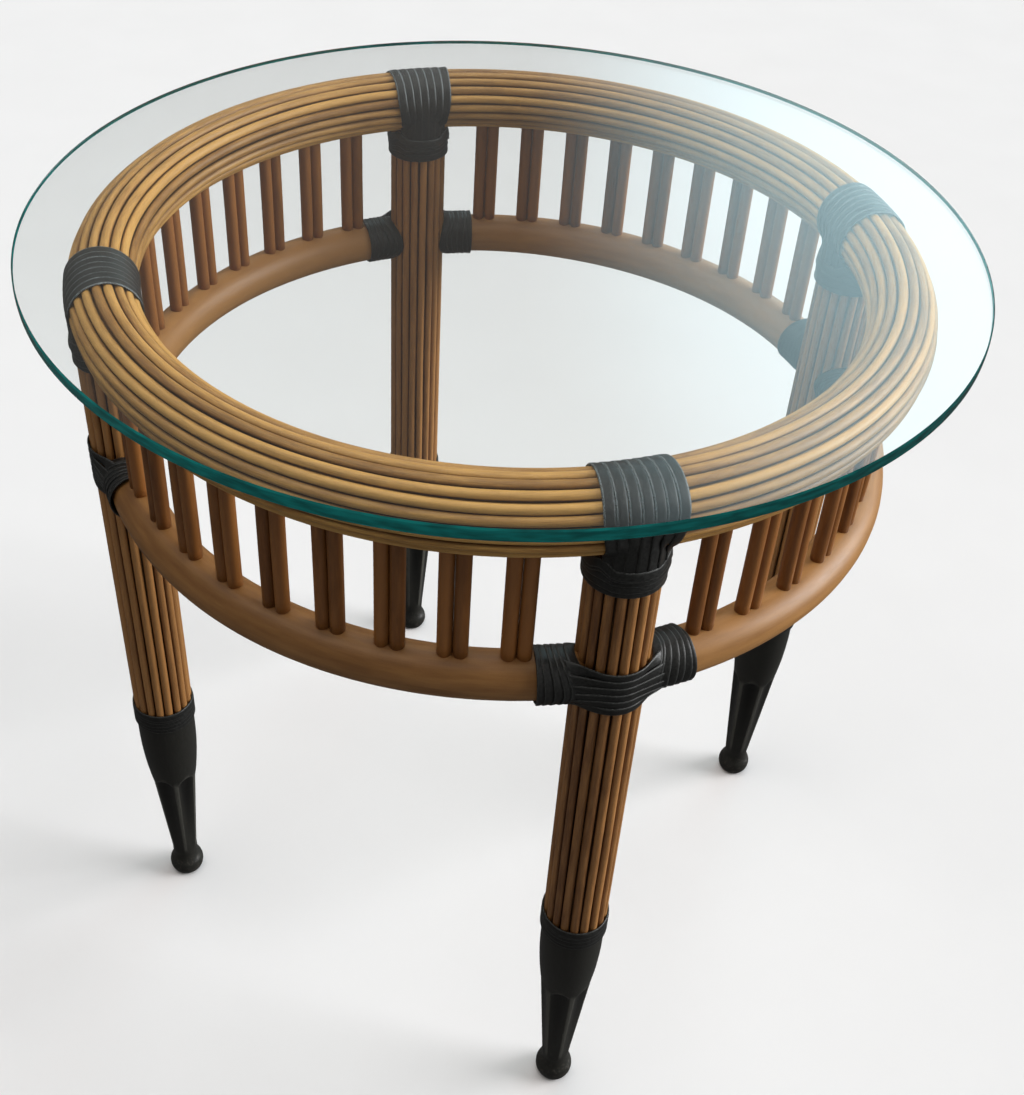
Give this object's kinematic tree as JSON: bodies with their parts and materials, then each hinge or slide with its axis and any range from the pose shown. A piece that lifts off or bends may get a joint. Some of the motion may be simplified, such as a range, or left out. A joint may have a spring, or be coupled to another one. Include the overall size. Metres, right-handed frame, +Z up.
{
  "type": "side table",
  "caption": "Round glass-topped rattan side table: reeded ring and legs, smooth lower rail, paired cane spindles, leather bindings and turned fluted feet.",
  "frame": {"origin": "on the floor under the middle of the glass", "axes": "+Z up along the table's axis, +X to the right leg and +Y to the back leg"},
  "size_m": [0.5999, 0.6, 0.583],
  "materials": {
    "clear_glass": "polished, ground edge",
    "rattan_reed": "satin clear lacquer",
    "rattan_pole": "satin clear lacquer",
    "rattan_cane": "satin clear lacquer",
    "dowel_wood": "bare",
    "black_leather": "smooth, soft sheen",
    "black_foot": "satin black paint"
  },
  "bodies": {
    "frame": {"collar_binding_back": "black_leather", "collar_binding_front": "black_leather", "collar_binding_left": "black_leather", "collar_binding_right": "black_leather", "cross_band_back": "black_leather", "cross_band_front": "black_leather", "cross_band_left": "black_leather", "cross_band_right": "black_leather", "foot_back": "black_foot", "foot_binding_back": "black_leather", "foot_binding_front": "black_leather", "foot_binding_left": "black_leather", "foot_binding_right": "black_leather", "foot_front": "black_foot", "foot_left": "black_foot", "foot_right": "black_foot", "leg_core_back": "rattan_pole", "leg_core_front": "rattan_pole", "leg_core_left": "rattan_pole", "leg_core_right": "rattan_pole", "leg_reeds_back": "rattan_reed", "leg_reeds_front": "rattan_reed", "leg_reeds_left": "rattan_reed", "leg_reeds_right": "rattan_reed", "rail_back_left": "rattan_pole", "rail_binding_back_left_finish": "black_leather", "rail_binding_back_left_start": "black_leather", "rail_binding_front_right_finish": "black_leather", "rail_binding_front_right_start": "black_leather", "rail_binding_left_front_finish": "black_leather", "rail_binding_left_front_start": "black_leather", "rail_binding_right_back_finish": "black_leather", "rail_binding_right_back_start": "black_leather", "rail_dowels": "dowel_wood", "rail_front_right": "rattan_pole", "rail_left_front": "rattan_pole", "rail_right_back": "rattan_pole", "ring_binding_back": "black_leather", "ring_binding_front": "black_leather", "ring_binding_left": "black_leather", "ring_binding_right": "black_leather", "ring_core": "rattan_pole", "ring_reeds_back_left": "rattan_reed", "ring_reeds_front_right": "rattan_reed", "ring_reeds_left_front": "rattan_reed", "ring_reeds_right_back": "rattan_reed", "spindles_back_left": "rattan_cane", "spindles_front_right": "rattan_cane", "spindles_left_front": "rattan_cane", "spindles_right_back": "rattan_cane"},
    "glass": {"glass_top": "clear_glass"}
  },
  "joints": [
    {"name": "glass_lift", "type": "slide", "parent": "frame", "child": "glass", "axis": [0, 0, 1], "range_m": [0, 0.15]}
  ]
}
